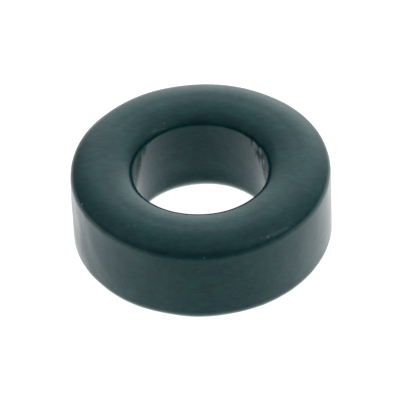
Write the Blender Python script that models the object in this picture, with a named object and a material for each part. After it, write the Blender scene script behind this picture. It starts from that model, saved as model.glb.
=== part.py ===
"""Coated ferrite toroid core, one solid of revolution about +Z that stands on its lower face.

A ferrite ring is pressed, fired and tumbled, and then wears a thick epoxy coat all over, so its end
faces are crowned and its edges are round. The section of one wall is made of arcs and straights that
run into each other without a crease. From the bore outwards, over the upper face, these are:

    bore wall, inner edge arc, inner crown arc, flat land,
    outer crown arc, outer shoulder arc, outer edge arc, rim wall

The lower face is the same section upside down. The origin is the middle of the lower face, on the
axis, at the height of the surface that the ring stands on.
"""

import math

import bmesh
import bpy

# Driving sizes, in metres, over the coat
OUTER_DIAMETER = 0.0235
BORE_DIAMETER = 0.01225
HEIGHT = 0.0092

# The flat land that the ring rests on, round the middle of the wall
LAND_WIDTH = 0.0005

# Arcs of the section, where the coat is drawn round the corners of the ferrite. Each ends where the
# face has the slope named with it, in degrees, and the crown arc then runs on to the land.
INNER_EDGE_RADIUS = 0.0013
INNER_EDGE_SLOPE = 15.0
OUTER_EDGE_RADIUS = 0.0010
OUTER_EDGE_SLOPE = 39.0
OUTER_SHOULDER_RADIUS = 0.0027
OUTER_SHOULDER_SLOPE = 12.5

# Facets: of the whole turn, and of each arc
TURN_FACETS = 96
INNER_EDGE_FACETS = 7
OUTER_EDGE_FACETS = 5
OUTER_SHOULDER_FACETS = 4
CROWN_FACETS = 3

# Epoxy coat: a deep teal green with a satin gloss (linear red, green, blue)
COAT_COLOUR = (0.005, 0.046, 0.050, 1.0)
COAT_ROUGHNESS = 0.3


def arc_points(radius, start, end, facets):
    """Steps from the start of an arc: distance along the face and rise, at equal changes of slope."""
    points = []
    for step in range(1, facets + 1):
        slope = start + (end - start) * step / facets
        along = radius * (math.sin(start) - math.sin(slope))
        rise = radius * (math.cos(slope) - math.cos(start))
        points.append((along, rise))
    return points


def half_face(wall_radius, land_radius, arcs):
    """Points (radius, depth below the land) from the top of the wall to the edge of the land.

    arcs lists the radius, the slope at the end and the facets of each arc in turn. The crown arc that
    closes the profile has the radius that the reach left over asks for. It serves both sides: the wall
    is the bore where wall_radius is under land_radius, and the rim where it is over it.
    """
    inwards = math.copysign(1.0, land_radius - wall_radius)
    outline = [(0.0, 0.0)]
    start = math.pi / 2
    for radius, end_slope, facets in arcs:
        end = math.radians(end_slope)
        base_along, base_rise = outline[-1]
        for along, rise in arc_points(radius, start, end, facets):
            outline.append((base_along + along, base_rise + rise))
        start = end
    base_along, base_rise = outline[-1]
    crown_radius = (abs(land_radius - wall_radius) - base_along) / math.sin(start)
    for along, rise in arc_points(crown_radius, start, 0.0, CROWN_FACETS):
        outline.append((base_along + along, base_rise + rise))
    top = outline[-1][1]
    return [(wall_radius + inwards * along, top - rise) for along, rise in outline]


def wall_section():
    """Closed outline of the wall as (radius, height) points, from the top of the bore over the upper face."""
    bore_radius = BORE_DIAMETER / 2
    rim_radius = OUTER_DIAMETER / 2
    middle = (bore_radius + rim_radius) / 2
    inner_arcs = [
        (INNER_EDGE_RADIUS, INNER_EDGE_SLOPE, INNER_EDGE_FACETS),
    ]
    outer_arcs = [
        (OUTER_EDGE_RADIUS, OUTER_EDGE_SLOPE, OUTER_EDGE_FACETS),
        (OUTER_SHOULDER_RADIUS, OUTER_SHOULDER_SLOPE, OUTER_SHOULDER_FACETS),
    ]
    inner_half = half_face(bore_radius, middle - LAND_WIDTH / 2, inner_arcs)
    outer_half = half_face(rim_radius, middle + LAND_WIDTH / 2, outer_arcs)
    face = inner_half + outer_half[::-1]
    upper = [(radius, HEIGHT - depth) for radius, depth in face]
    lower = [(radius, depth) for radius, depth in reversed(face)]
    return upper + lower


def coat_material():
    material = bpy.data.materials.new("epoxy_coat")
    material.use_nodes = True
    shader = material.node_tree.nodes["Principled BSDF"]
    shader.inputs["Base Color"].default_value = COAT_COLOUR
    shader.inputs["Roughness"].default_value = COAT_ROUGHNESS
    shader.inputs["Metallic"].default_value = 0.0
    return material


def toroid_core():
    """The whole coated ring: the wall's section, turned once about the axis."""
    mesh = bpy.data.meshes.new("toroid_core")
    bm = bmesh.new()
    outline = [bm.verts.new((radius, 0.0, height)) for radius, height in wall_section()]
    edges = [bm.edges.new(pair) for pair in zip(outline, outline[1:] + outline[:1])]
    bmesh.ops.spin(
        bm,
        geom=outline + edges,
        axis=(0.0, 0.0, 1.0),
        cent=(0.0, 0.0, 0.0),
        angle=math.tau,
        steps=TURN_FACETS,
        use_merge=True,
    )
    bmesh.ops.recalc_face_normals(bm, faces=bm.faces)
    bm.to_mesh(mesh)
    bm.free()
    mesh.shade_smooth()
    core = bpy.data.objects.new("toroid_core", mesh)
    core.data.materials.append(coat_material())
    bpy.context.scene.collection.objects.link(core)
    return core


def main():
    for old in list(bpy.data.objects):
        bpy.data.objects.remove(old, do_unlink=True)
    toroid_core()


main()
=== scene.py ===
"""Looks of the coated ferrite ring: its epoxy coat, a pale floor, soft studio light and the camera.

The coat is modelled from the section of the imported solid, with the unevenness of this one sample. An
azimuth is an angle round the ring's axis, in degrees: 0 is to the camera's right, and 90 is behind
the axis.
"""

import math

import bmesh
import bpy
import numpy as np
from mathutils import Matrix, Vector

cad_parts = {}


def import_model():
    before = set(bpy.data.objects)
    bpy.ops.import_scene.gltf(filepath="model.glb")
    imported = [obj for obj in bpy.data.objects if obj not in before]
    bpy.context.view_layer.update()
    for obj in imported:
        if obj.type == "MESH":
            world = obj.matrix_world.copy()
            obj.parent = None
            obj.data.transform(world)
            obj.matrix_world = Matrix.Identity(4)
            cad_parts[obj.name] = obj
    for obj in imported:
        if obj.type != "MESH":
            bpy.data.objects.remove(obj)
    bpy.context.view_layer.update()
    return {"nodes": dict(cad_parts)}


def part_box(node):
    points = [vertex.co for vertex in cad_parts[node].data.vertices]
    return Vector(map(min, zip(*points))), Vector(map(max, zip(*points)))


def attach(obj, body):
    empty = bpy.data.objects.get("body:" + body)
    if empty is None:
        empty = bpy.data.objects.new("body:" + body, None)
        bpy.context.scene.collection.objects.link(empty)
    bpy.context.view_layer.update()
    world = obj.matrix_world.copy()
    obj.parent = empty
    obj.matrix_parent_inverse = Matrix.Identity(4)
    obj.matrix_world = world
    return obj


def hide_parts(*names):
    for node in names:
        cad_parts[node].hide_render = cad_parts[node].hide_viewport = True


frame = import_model()

MM = 0.001
WHITE = (1.0, 1.0, 1.0, 1.0)

# The ring's main sizes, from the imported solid
LOW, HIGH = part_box("toroid_core")
RIM_RADIUS = (HIGH.x - LOW.x) / 2
HEIGHT = HIGH.z - LOW.z
BORE_RADIUS = min(vertex.co.xy.length for vertex in frame["nodes"]["toroid_core"].data.vertices)

# The arcs of its section: radius, and slope in degrees where the arc ends. They are as in the solid,
# but over the upper edge of the bore the coat is drawn a little tighter behind, and looser in front.
LAND_WIDTH = 0.5 * MM
INNER_ARCS = [(1.3 * MM, 15.0)]
INNER_ARCS_BEHIND = [(0.75 * MM, 52.0), (1.5 * MM, 15.0)]
INNER_ARCS_IN_FRONT = [(1.45 * MM, 15.0)]
OUTER_ARCS = [(1.0 * MM, 39.0), (2.7 * MM, 12.5)]

# Where the arcs in front change into the arcs behind: the sine of the azimuth at which the change
# starts, and how much more the sine is where it ends
CHANGE_START = -0.60
CHANGE_SPAN = 0.50

# Mesh of the coat: columns in a turn, rows round the section, points along each arc
TURN_COLUMNS = 520
SECTION_ROWS = 184
ARC_POINTS = 90

# Unevenness of the whole coat
SLOW_SWELL_RISE = 0.012 * MM
SLOW_SWELL_LENGTH = 6.0 * MM
ORANGE_PEEL_RISE = 0.0015 * MM
ORANGE_PEEL_LENGTH = 1.1 * MM

# A random field is a sum of waves, whose lengths spread over a range of factors
FIELD_WAVES = 48
FIELD_SPREAD = (0.75, 1.35)

# Seeds of the random fields; further folds and further waves count on from the first
SWELL_SEED = 1
PEEL_SEED = 2
FIRST_FOLD_SEED = 10
FIRST_WAVE_SEED = 20

# Folds of the coat on the bore wall, and waves on the rim wall: azimuth and half a width in degrees,
# height, half a height, wavelength and rise
BORE_FOLDS = [
    (29.0, 9.0, 7.3 * MM, 1.0 * MM, 0.8 * MM, 0.040 * MM),
    (152.0, 9.0, 7.7 * MM, 1.0 * MM, 1.0 * MM, 0.006 * MM),
]
RIM_WAVES = [
    (188.0, 12.0, 5.5 * MM, 2.6 * MM, 3.4 * MM, 0.020 * MM),
    (206.0, 16.0, 4.6 * MM, 4.0 * MM, 2.2 * MM, 0.012 * MM),
    (300.0, 60.0, 4.6 * MM, 4.0 * MM, 3.0 * MM, 0.006 * MM),
]

# Factors that draw the folds and waves out along the axis
FOLD_STRETCH = (1.0, 1.0, 0.45)

# How far from a wall's own radius the unevenness of that wall goes on
WALL_REACH = 0.6 * MM

# Places where the coat is thicker on the outside, and places where it is thicker or thinner on the
# bore wall: azimuth and half a width in degrees, height, half a height and rise
OUTER_SWELLS = [
    (196.0, 12.0, 2.4 * MM, 1.4 * MM, 0.075 * MM),
    (151.0, 13.0, 8.6 * MM, 1.5 * MM, 0.070 * MM),
    (20.0, 10.0, 8.5 * MM, 1.5 * MM, 0.040 * MM),
]
BORE_SWELLS = [
    (92.0, 42.0, 1.5 * MM, 0.80 * MM, 0.080 * MM),
    (76.0, 36.0, 5.6 * MM, 2.6 * MM, -0.045 * MM),
]

# Specks in the coat. Each on the upper face has an azimuth, a radius and a size; each on the rim wall
# has an azimuth, a height and a size.
FACE_SPECKS = [
    (202, 11.5 * MM, 0.10 * MM),
    (231, 10.5 * MM, 0.06 * MM),
    (234, 10.3 * MM, 0.05 * MM),
    (270, 11.7 * MM, 0.06 * MM),
    (334, 10.3 * MM, 0.08 * MM),
    (328, 10.9 * MM, 0.05 * MM),
    (118, 6.6 * MM, 0.09 * MM),
    (300, 11.4 * MM, 0.11 * MM),
]
RIM_SPECKS = [
    (267, 6.5 * MM, 0.06 * MM),
]

# The pale spot round a speck: its reach as a multiple of the speck's size, and its paleness
SPECK_REACH = 1.5
SPECK_PALENESS = 0.9

# Scuffs on the upper face: azimuth and radius of one end and of the other, reach and paleness. Each
# is a line of spots.
SCUFFS = [
    ((297, 11.35 * MM), (311, 11.45 * MM), 0.22 * MM, 0.22),
    ((118, 6.30 * MM), (133, 6.50 * MM), 0.15 * MM, 0.30),
]
SCUFF_SPOTS = 14

# Share of a spot's reach over which it keeps its full strength
SPOT_CORE = 0.4

# Colours of the coat, in linear red, green and blue: clouds from deep to pale with a dark grain, and the
# dust in scuffs, whose pale colour is also the tint round specks
COAT_DEEP = (0.003, 0.087, 0.106, 1.0)
COAT_PALE = (0.005, 0.117, 0.125, 1.0)
COAT_GRAIN = (0.001, 0.030, 0.036, 1.0)
GRAIN_STRENGTH = 0.36
DUST = (0.20, 0.38, 0.40, 1.0)

# Noises over the coat, with scales in cycles to the millimetre, and the range that their values mostly
# keep to
CLOUD_NOISE = {"scale": 0.60, "detail": 3.0}
GRAIN_NOISE = {"scale": 3.4, "detail": 3.0, "stretch": (2.2, 1.0, 1.0)}
GLOSS_NOISE = {"scale": 1.4, "detail": 4.0}
PEEL_NOISE = {"scale": 2.6, "detail": 3.0, "stretch": (1.8, 1.0, 1.0)}
SCUFF_NOISE = {"scale": 1.8, "detail": 2.0}
NOISE_RANGE = (0.3, 0.7)

# The noise that breaks up the scuffs: the range over which they come in, and what is left of them
# where it is low
SCUFF_BREAKS = (0.38, 0.62)
SCUFF_REMAINDER = 0.25

# The clear layer of the coat, and the coloured layer under it
GLOSS_ROUGHNESS = (0.15, 0.20)
DUST_ROUGHNESS = 0.25
GLOSS_IOR = 1.5
PEEL_DEPTH = 0.0070 * MM
COLOUR_ROUGHNESS = 0.40
COLOUR_METALLIC = 0.30

# Floor: its side in metres, and its look
FLOOR_SIZE = 3.0
FLOOR_COLOUR = (0.8, 0.8, 0.8, 1.0)
FLOOR_ROUGHNESS = 0.8
FLOOR_EMISSION = 1.0

# Camera: the lens and the sensor in millimetres, and what it sees from and up to in metres
CAMERA_ELEVATION = math.radians(41.93)
CAMERA_DISTANCE = 426.3 * MM
CAMERA_ROLL = math.radians(-2.61)
LENS = 423.5
SENSOR_WIDTH = 36.0
NEAREST = 0.01
FARTHEST = 10.0
AIM = Vector((-0.155 * MM, 0.0, HEIGHT / 2 - 0.155 * MM))

# The room as the ring sees it. Each glow has a direction (azimuth, elevation), a falloff power and a
# strength; a glow of the floor shows below the horizon, and a glow of the room above it.
FLOOR_GLOWS = {
    "nadir": (0, -90, 3.0, 1.05),
    "behind": (80, -10, 2.0, 0.88),
    "behind_left": (135, -40, 8.0, 0.25),
    "left": (180, -15, 3.0, 0.52),
    "right": (5, -15, 3.0, 0.64),
    "front": (270, -15, 3.0, 0.05),
}
ROOM_GLOWS = {
    "ceiling": (0, 90, 3.0, 0.20),
    "window": (80, 16, 10.0, 1.05),
    "window_end": (45, 12, 14.0, 0.10),
    "window_halo": (75, 25, 3.0, 0.54),
    "left": (180, 38, 8.0, 0.17),
    "right": (345, 42, 8.0, 0.32),
}

# Even light under the glows, of the floor and of the room
EVEN_FLOOR_LIGHT = 0.07
EVEN_ROOM_LIGHT = 0.10

# Sine of the elevation at which the room's light is still whole, and at which only the floor's is left
HORIZON = (0.06, -0.10)


def arc_steps(radius, start, end):
    """Distance along the face and rise of the points of an arc, from its start."""
    slope = np.linspace(start, end, ARC_POINTS)[1:]
    return radius * (math.sin(start) - np.sin(slope)), radius * (np.cos(slope) - math.cos(start))


def half_face(wall_radius, land_radius, arcs):
    """Dense outline from the top of the wall to the edge of the land: radius and depth below the land.

    A crown arc closes it, with the radius that the reach left over asks for.
    """
    inwards = math.copysign(1.0, land_radius - wall_radius)
    along = np.zeros(1)
    rise = np.zeros(1)
    start = math.pi / 2
    for radius, end_slope in arcs:
        end = math.radians(end_slope)
        steps = arc_steps(radius, start, end)
        along = np.concatenate([along, along[-1] + steps[0]])
        rise = np.concatenate([rise, rise[-1] + steps[1]])
        start = end
    crown_radius = (abs(land_radius - wall_radius) - along[-1]) / math.sin(start)
    steps = arc_steps(crown_radius, start, 0.0)
    along = np.concatenate([along, along[-1] + steps[0]])
    rise = np.concatenate([rise, rise[-1] + steps[1]])
    return wall_radius + inwards * along, rise[-1] - rise


def face(inner_arcs):
    """Outline of one face, from the bore wall to the rim wall, and the index of the land's outer end.

    The outline is a list of two arrays: radius and depth below the land.
    """
    middle = (BORE_RADIUS + RIM_RADIUS) / 2
    inner = half_face(BORE_RADIUS, middle - LAND_WIDTH / 2, inner_arcs)
    outer = half_face(RIM_RADIUS, middle + LAND_WIDTH / 2, OUTER_ARCS)
    outline = [np.concatenate([inside, outside[::-1]]) for inside, outside in zip(inner, outer)]
    return outline, len(inner[0])


def section(upper_arcs):
    """Closed outline of the wall: SECTION_ROWS points (radius, height), evenly spaced.

    The arcs given are those of the bore's upper edge. Its lower edge is as in the solid.
    """
    (upper_radius, upper_depth), land = face(upper_arcs)
    (lower_radius, lower_depth), _ = face(INNER_ARCS)
    radius = np.concatenate([upper_radius, lower_radius[::-1], upper_radius[:1]])
    height = np.concatenate([HEIGHT - upper_depth, lower_depth[::-1], HEIGHT - upper_depth[:1]])
    steps = np.hypot(np.diff(radius), np.diff(height))
    travelled = np.concatenate([[0.0], np.cumsum(steps)])
    # the land's outer end starts the rows, because it lies at the same place in every section
    start = travelled[land]
    at = (start + np.linspace(0.0, travelled[-1], SECTION_ROWS, endpoint=False)) % travelled[-1]
    return np.interp(at, travelled, radius), np.interp(at, travelled, height)


def ripple(points, wavelength, seed):
    """Smooth random field of unit spread whose bumps are about one wavelength apart."""
    random = np.random.default_rng(seed)
    headings = random.normal(size=(FIELD_WAVES, 3))
    headings /= np.linalg.norm(headings, axis=1, keepdims=True)
    number = 2 * math.pi / (wavelength * random.uniform(*FIELD_SPREAD, FIELD_WAVES))
    phase = random.uniform(0, 2 * math.pi, FIELD_WAVES)
    total = np.zeros(len(points))
    for wave in range(FIELD_WAVES):
        total += np.cos(points @ (headings[wave] * number[wave]) + phase[wave])
    return total * math.sqrt(2.0 / FIELD_WAVES)


def patch(points, azimuth, half_width, height, half_height):
    """Soft mask: 1 in the middle of a patch of a wall, and 0 well outside it."""
    turn = np.degrees(np.arctan2(points[:, 1], points[:, 0])) - azimuth
    turn = (turn + 180.0) % 360.0 - 180.0
    return np.exp(-(turn / half_width) ** 2 - ((points[:, 2] - height) / half_height) ** 2)


def rippled(points, runs, first_seed, on_wall):
    """Rise of the folds or waves of one wall, whose points on_wall marks."""
    rise = np.zeros(len(points))
    for seed, (*place, wavelength, crest) in enumerate(runs, first_seed):
        rise += crest * patch(points, *place) * on_wall * ripple(points * FOLD_STRETCH, wavelength, seed)
    return rise


def swollen(points, swells, share):
    """Rise of the thicker and thinner places, where share says how much of it a point takes."""
    rise = np.zeros(len(points))
    for *place, thickness in swells:
        rise += thickness * patch(points, *place) * share
    return rise


def coat_relief(points):
    """Rise of the coat over the true section."""
    radius = np.hypot(points[:, 0], points[:, 1])
    rise = SLOW_SWELL_RISE * ripple(points, SLOW_SWELL_LENGTH, SWELL_SEED)
    rise += ORANGE_PEEL_RISE * ripple(points, ORANGE_PEEL_LENGTH, PEEL_SEED)
    rise += rippled(points, BORE_FOLDS, FIRST_FOLD_SEED, radius < BORE_RADIUS + WALL_REACH)
    rise += rippled(points, RIM_WAVES, FIRST_WAVE_SEED, radius > RIM_RADIUS - WALL_REACH)
    outside = np.clip((radius - BORE_RADIUS) / (RIM_RADIUS - BORE_RADIUS), 0.0, 1.0) ** 2
    rise += swollen(points, OUTER_SWELLS, outside)
    inside = np.clip(1.0 - (radius - BORE_RADIUS) / WALL_REACH, 0.0, 1.0)
    rise += swollen(points, BORE_SWELLS, inside)
    return rise


def smooth_step(share):
    """Share from 0 to 1, with no corner where it starts or ends."""
    share = np.clip(share, 0.0, 1.0)
    return share * share * (3.0 - 2.0 * share)


def step_round(values):
    """Difference between the values one row on and one row back round the section."""
    return np.roll(values, -1, axis=1) - np.roll(values, 1, axis=1)


def around(turn, radius, height):
    """Points (x, y, z), column after column."""
    return np.stack([np.cos(turn) * radius, np.sin(turn) * radius, height], -1).reshape(-1, 3)


def ring_surface():
    """Points and faces of the coat, as one closed tube round the section."""
    turn = np.linspace(0, 2 * math.pi, TURN_COLUMNS, endpoint=False)[:, None]
    behind = smooth_step((np.sin(turn) - CHANGE_START) / CHANGE_SPAN)
    front_radius, front_height = section(INNER_ARCS_IN_FRONT)
    back_radius, back_height = section(INNER_ARCS_BEHIND)
    radius = front_radius + (back_radius - front_radius) * behind
    height = front_height + (back_height - front_height) * behind
    radius_step = step_round(radius)
    height_step = step_round(height)
    length = np.hypot(radius_step, height_step)
    normals = around(turn, -height_step / length, radius_step / length)
    points = around(turn, radius, height)
    points = points + normals * coat_relief(points)[:, None]
    column = np.arange(TURN_COLUMNS)[:, None]
    row = np.arange(SECTION_ROWS)[None, :]
    here = column * SECTION_ROWS
    following = (column + 1) % TURN_COLUMNS * SECTION_ROWS
    next_row = (row + 1) % SECTION_ROWS
    corners = [here + row, here + next_row, following + next_row, following + row]
    return points.tolist(), np.stack(corners, -1).reshape(-1, 4).tolist()


def ring_point(azimuth, radius, height):
    turn = math.radians(azimuth)
    return Vector((radius * math.cos(turn), radius * math.sin(turn), height))


def face_point(azimuth, radius):
    """Point of the upper face at an azimuth and a radius."""
    (radii, depths), _ = face(INNER_ARCS)
    return ring_point(azimuth, radius, HEIGHT - float(np.interp(radius, radii, depths)))


def specks():
    """Place and size of every speck."""
    on_face = [(face_point(azimuth, radius), size) for azimuth, radius, size in FACE_SPECKS]
    on_rim = [(ring_point(azimuth, RIM_RADIUS, height), size) for azimuth, height, size in RIM_SPECKS]
    return on_face + on_rim


def coated_ring():
    """The coat's surface, with a small ball sunk into it up to its middle at each speck."""
    points, faces = ring_surface()
    mesh = bpy.data.meshes.new("coated_ring")
    mesh.from_pydata(points, [], faces)
    surface = bmesh.new()
    surface.from_mesh(mesh)
    for place, size in specks():
        bmesh.ops.create_icosphere(surface, subdivisions=2, radius=size, matrix=Matrix.Translation(place))
    surface.to_mesh(mesh)
    surface.free()
    mesh.shade_smooth()
    ring = bpy.data.objects.new("coated_ring", mesh)
    bpy.context.scene.collection.objects.link(ring)
    return ring


def node_value(tree, operation, *operands):
    """Output of a Math node; an operand is a number or another node's output."""
    node = tree.nodes.new("ShaderNodeMath")
    node.operation = operation
    for socket, operand in zip(node.inputs, operands):
        if isinstance(operand, (int, float)):
            socket.default_value = operand
        else:
            tree.links.new(operand, socket)
    return node.outputs[0]


def noise(tree, place, scale, detail, stretch=(1.0, 1.0, 1.0)):
    """Noise over a place in millimetres; it varies more slowly along a stretched axis."""
    mapping = tree.nodes.new("ShaderNodeMapping")
    mapping.inputs["Scale"].default_value = [1.0 / factor for factor in stretch]
    tree.links.new(place, mapping.inputs["Vector"])
    node = tree.nodes.new("ShaderNodeTexNoise")
    node.inputs["Scale"].default_value = scale
    node.inputs["Detail"].default_value = detail
    tree.links.new(mapping.outputs["Vector"], node.inputs["Vector"])
    return node.outputs["Fac"]


def remap(tree, value, low, high, new_low, new_high):
    """Smooth change from new_low, at a value of low, to new_high, at a value of high."""
    node = tree.nodes.new("ShaderNodeMapRange")
    node.interpolation_type = "SMOOTHSTEP"
    tree.links.new(value, node.inputs["Value"])
    node.inputs["From Min"].default_value = low
    node.inputs["From Max"].default_value = high
    node.inputs["To Min"].default_value = new_low
    node.inputs["To Max"].default_value = new_high
    return node.outputs["Result"]


def near(tree, place, centre, reach):
    """Mask: 1 at a point of the coat, and 0 from reach on; place is in millimetres."""
    distance = tree.nodes.new("ShaderNodeVectorMath")
    distance.operation = "DISTANCE"
    tree.links.new(place, distance.inputs[0])
    distance.inputs[1].default_value = centre / MM
    return remap(tree, distance.outputs["Value"], SPOT_CORE * reach / MM, reach / MM, 1.0, 0.0)


def scuff_mask(tree, place):
    """Paleness of the scuffs: lines of overlapping spots, broken up by noise."""
    total = 0.0
    for start, end, reach, paleness in SCUFFS:
        for step in range(SCUFF_SPOTS):
            share = step / (SCUFF_SPOTS - 1)
            azimuth, radius = [first + (last - first) * share for first, last in zip(start, end)]
            spot = near(tree, place, face_point(azimuth, radius), reach)
            total = node_value(tree, "MAXIMUM", total, node_value(tree, "MULTIPLY", spot, paleness))
    broken = remap(tree, noise(tree, place, **SCUFF_NOISE), *SCUFF_BREAKS, SCUFF_REMAINDER, 1.0)
    return node_value(tree, "MULTIPLY", total, broken)


def speck_mask(tree, place):
    """Mask of the pale spots round the specks."""
    total = 0.0
    for centre, size in specks():
        total = node_value(tree, "MAXIMUM", total, near(tree, place, centre, SPECK_REACH * size))
    return total


def mixed(tree, share, first, second):
    """Mix of two colours; each is a constant or another node's output."""
    node = tree.nodes.new("ShaderNodeMix")
    node.data_type = "RGBA"
    tree.links.new(share, node.inputs["Factor"])
    for socket, colour in ((node.inputs["A"], first), (node.inputs["B"], second)):
        if isinstance(colour, tuple):
            socket.default_value = colour
        else:
            tree.links.new(colour, socket)
    return node.outputs["Result"]


def coat_colour(tree, place, scuff, speck):
    """Clouded teal with a dark grain, dust in the scuffs, and a pale tint of the same colour round the
    specks.
    """
    cloud = remap(tree, noise(tree, place, **CLOUD_NOISE), *NOISE_RANGE, 0.0, 1.0)
    grain = remap(tree, noise(tree, place, **GRAIN_NOISE), *NOISE_RANGE, 0.0, 1.0)
    darker = remap(tree, grain, 0.0, 1.0, GRAIN_STRENGTH, 0.0)
    colour = mixed(tree, cloud, COAT_DEEP, COAT_PALE)
    colour = mixed(tree, darker, colour, COAT_GRAIN)
    colour = mixed(tree, scuff, colour, DUST)
    return mixed(tree, node_value(tree, "MULTIPLY", speck, SPECK_PALENESS), colour, DUST)


def gloss_roughness(tree, place, scuff, speck):
    """Roughness of the clear layer, higher in the scuffs and round the specks."""
    gloss = remap(tree, noise(tree, place, **GLOSS_NOISE), *NOISE_RANGE, *GLOSS_ROUGHNESS)
    dulled = node_value(tree, "MULTIPLY", node_value(tree, "MAXIMUM", scuff, speck), DUST_ROUGHNESS)
    return node_value(tree, "ADD", gloss, dulled)


def coat_material():
    """Teal epoxy: a slightly mottled colour under a clear layer, whose gloss fine orange peel breaks up."""
    material = bpy.data.materials.new("teal_coat")
    material.use_nodes = True
    tree = material.node_tree
    shader = tree.nodes["Principled BSDF"]
    metres = tree.nodes.new("ShaderNodeTexCoord").outputs["Object"]
    scaled = tree.nodes.new("ShaderNodeVectorMath")
    scaled.operation = "SCALE"
    tree.links.new(metres, scaled.inputs[0])
    scaled.inputs["Scale"].default_value = 1.0 / MM
    place = scaled.outputs["Vector"]

    scuff = scuff_mask(tree, place)
    speck = speck_mask(tree, place)
    tree.links.new(coat_colour(tree, place, scuff, speck), shader.inputs["Base Color"])
    shader.inputs["Roughness"].default_value = COLOUR_ROUGHNESS
    shader.inputs["Metallic"].default_value = COLOUR_METALLIC
    shader.inputs["Specular IOR Level"].default_value = 0.0

    tree.links.new(gloss_roughness(tree, place, scuff, speck), shader.inputs["Coat Roughness"])
    shader.inputs["Coat Weight"].default_value = 1.0
    shader.inputs["Coat IOR"].default_value = GLOSS_IOR
    peel = tree.nodes.new("ShaderNodeBump")
    peel.inputs["Strength"].default_value = 1.0
    peel.inputs["Distance"].default_value = PEEL_DEPTH
    tree.links.new(noise(tree, place, **PEEL_NOISE), peel.inputs["Height"])
    tree.links.new(peel.outputs["Normal"], shader.inputs["Normal"])
    tree.links.new(peel.outputs["Normal"], shader.inputs["Coat Normal"])
    return material


def floor(lowest):
    """Pale floor at the ring's lowest point. Only the camera sees it: FLOOR_GLOWS stand for its light."""
    bpy.ops.mesh.primitive_plane_add(size=FLOOR_SIZE, location=(0, 0, lowest))
    plane = bpy.context.object
    plane.name = "floor"
    plane.visible_glossy = False
    plane.visible_diffuse = False
    plane.visible_shadow = False
    material = bpy.data.materials.new("floor")
    material.use_nodes = True
    shader = material.node_tree.nodes["Principled BSDF"]
    shader.inputs["Base Color"].default_value = FLOOR_COLOUR
    shader.inputs["Roughness"].default_value = FLOOR_ROUGHNESS
    shader.inputs["Specular IOR Level"].default_value = 0.0
    shader.inputs["Emission Color"].default_value = WHITE
    shader.inputs["Emission Strength"].default_value = FLOOR_EMISSION
    plane.data.materials.append(material)


def camera():
    """The photo's camera, rolled a little about its line of sight."""
    centre = Vector((0, 0, HEIGHT / 2))
    away = Vector((0, -math.cos(CAMERA_ELEVATION), math.sin(CAMERA_ELEVATION)))
    place = centre + away * CAMERA_DISTANCE
    forward = (AIM - place).normalized()
    right = forward.cross(Vector((0, 0, 1))).normalized()
    up = right.cross(forward)
    rolled_right = right * math.cos(CAMERA_ROLL) + up * math.sin(CAMERA_ROLL)
    rolled_up = up * math.cos(CAMERA_ROLL) - right * math.sin(CAMERA_ROLL)
    axes = Matrix((rolled_right, rolled_up, -forward)).transposed()
    data = bpy.data.cameras.new("camera")
    data.lens = LENS
    data.sensor_width = SENSOR_WIDTH
    data.clip_start = NEAREST
    data.clip_end = FARTHEST
    holder = bpy.data.objects.new("camera", data)
    holder.matrix_world = Matrix.Translation(place) @ axes.to_4x4()
    bpy.context.scene.collection.objects.link(holder)
    bpy.context.scene.camera = holder


def direction(azimuth, elevation):
    turn = math.radians(azimuth)
    rise = math.radians(elevation)
    return Vector((math.cos(rise) * math.cos(turn), math.cos(rise) * math.sin(turn), math.sin(rise)))


def glow(tree, view, azimuth, elevation, power, strength):
    """Brightness of one glow in the direction of view."""
    cosine = tree.nodes.new("ShaderNodeVectorMath")
    cosine.operation = "DOT_PRODUCT"
    tree.links.new(view, cosine.inputs[0])
    cosine.inputs[1].default_value = direction(azimuth, elevation)
    facing = node_value(tree, "MAXIMUM", cosine.outputs["Value"], 0.0)
    return node_value(tree, "MULTIPLY", node_value(tree, "POWER", facing, power), strength)


def lit(tree, view, even, glows):
    """Even light and all the glows over it."""
    total = even
    for azimuth, elevation, power, strength in glows.values():
        total = node_value(tree, "ADD", total, glow(tree, view, azimuth, elevation, power, strength))
    return total


def world():
    """The room and the floor as light for the ring, and plain white as the camera's background."""
    sky = bpy.data.worlds.new("studio")
    sky.use_nodes = True
    tree = sky.node_tree
    background = tree.nodes["Background"]
    view = tree.nodes.new("ShaderNodeTexCoord").outputs["Generated"]
    parts = tree.nodes.new("ShaderNodeSeparateXYZ")
    tree.links.new(view, parts.inputs[0])
    below = remap(tree, parts.outputs["Z"], *HORIZON, 0.0, 1.0)
    above = node_value(tree, "SUBTRACT", 1.0, below)
    room = node_value(tree, "MULTIPLY", lit(tree, view, EVEN_ROOM_LIGHT, ROOM_GLOWS), above)
    ground = node_value(tree, "MULTIPLY", lit(tree, view, EVEN_FLOOR_LIGHT, FLOOR_GLOWS), below)
    light = node_value(tree, "ADD", room, ground)
    seen = tree.nodes.new("ShaderNodeLightPath").outputs["Is Camera Ray"]
    tree.links.new(node_value(tree, "MAXIMUM", light, seen), background.inputs["Strength"])
    background.inputs["Color"].default_value = WHITE
    bpy.context.scene.world = sky


def main():
    ring = coated_ring()
    ring.data.materials.append(coat_material())
    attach(ring, "root")
    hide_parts("toroid_core")
    floor(min(vertex.co.z for vertex in ring.data.vertices))
    camera()
    world()
    bpy.context.scene.view_settings.view_transform = "Standard"


main()
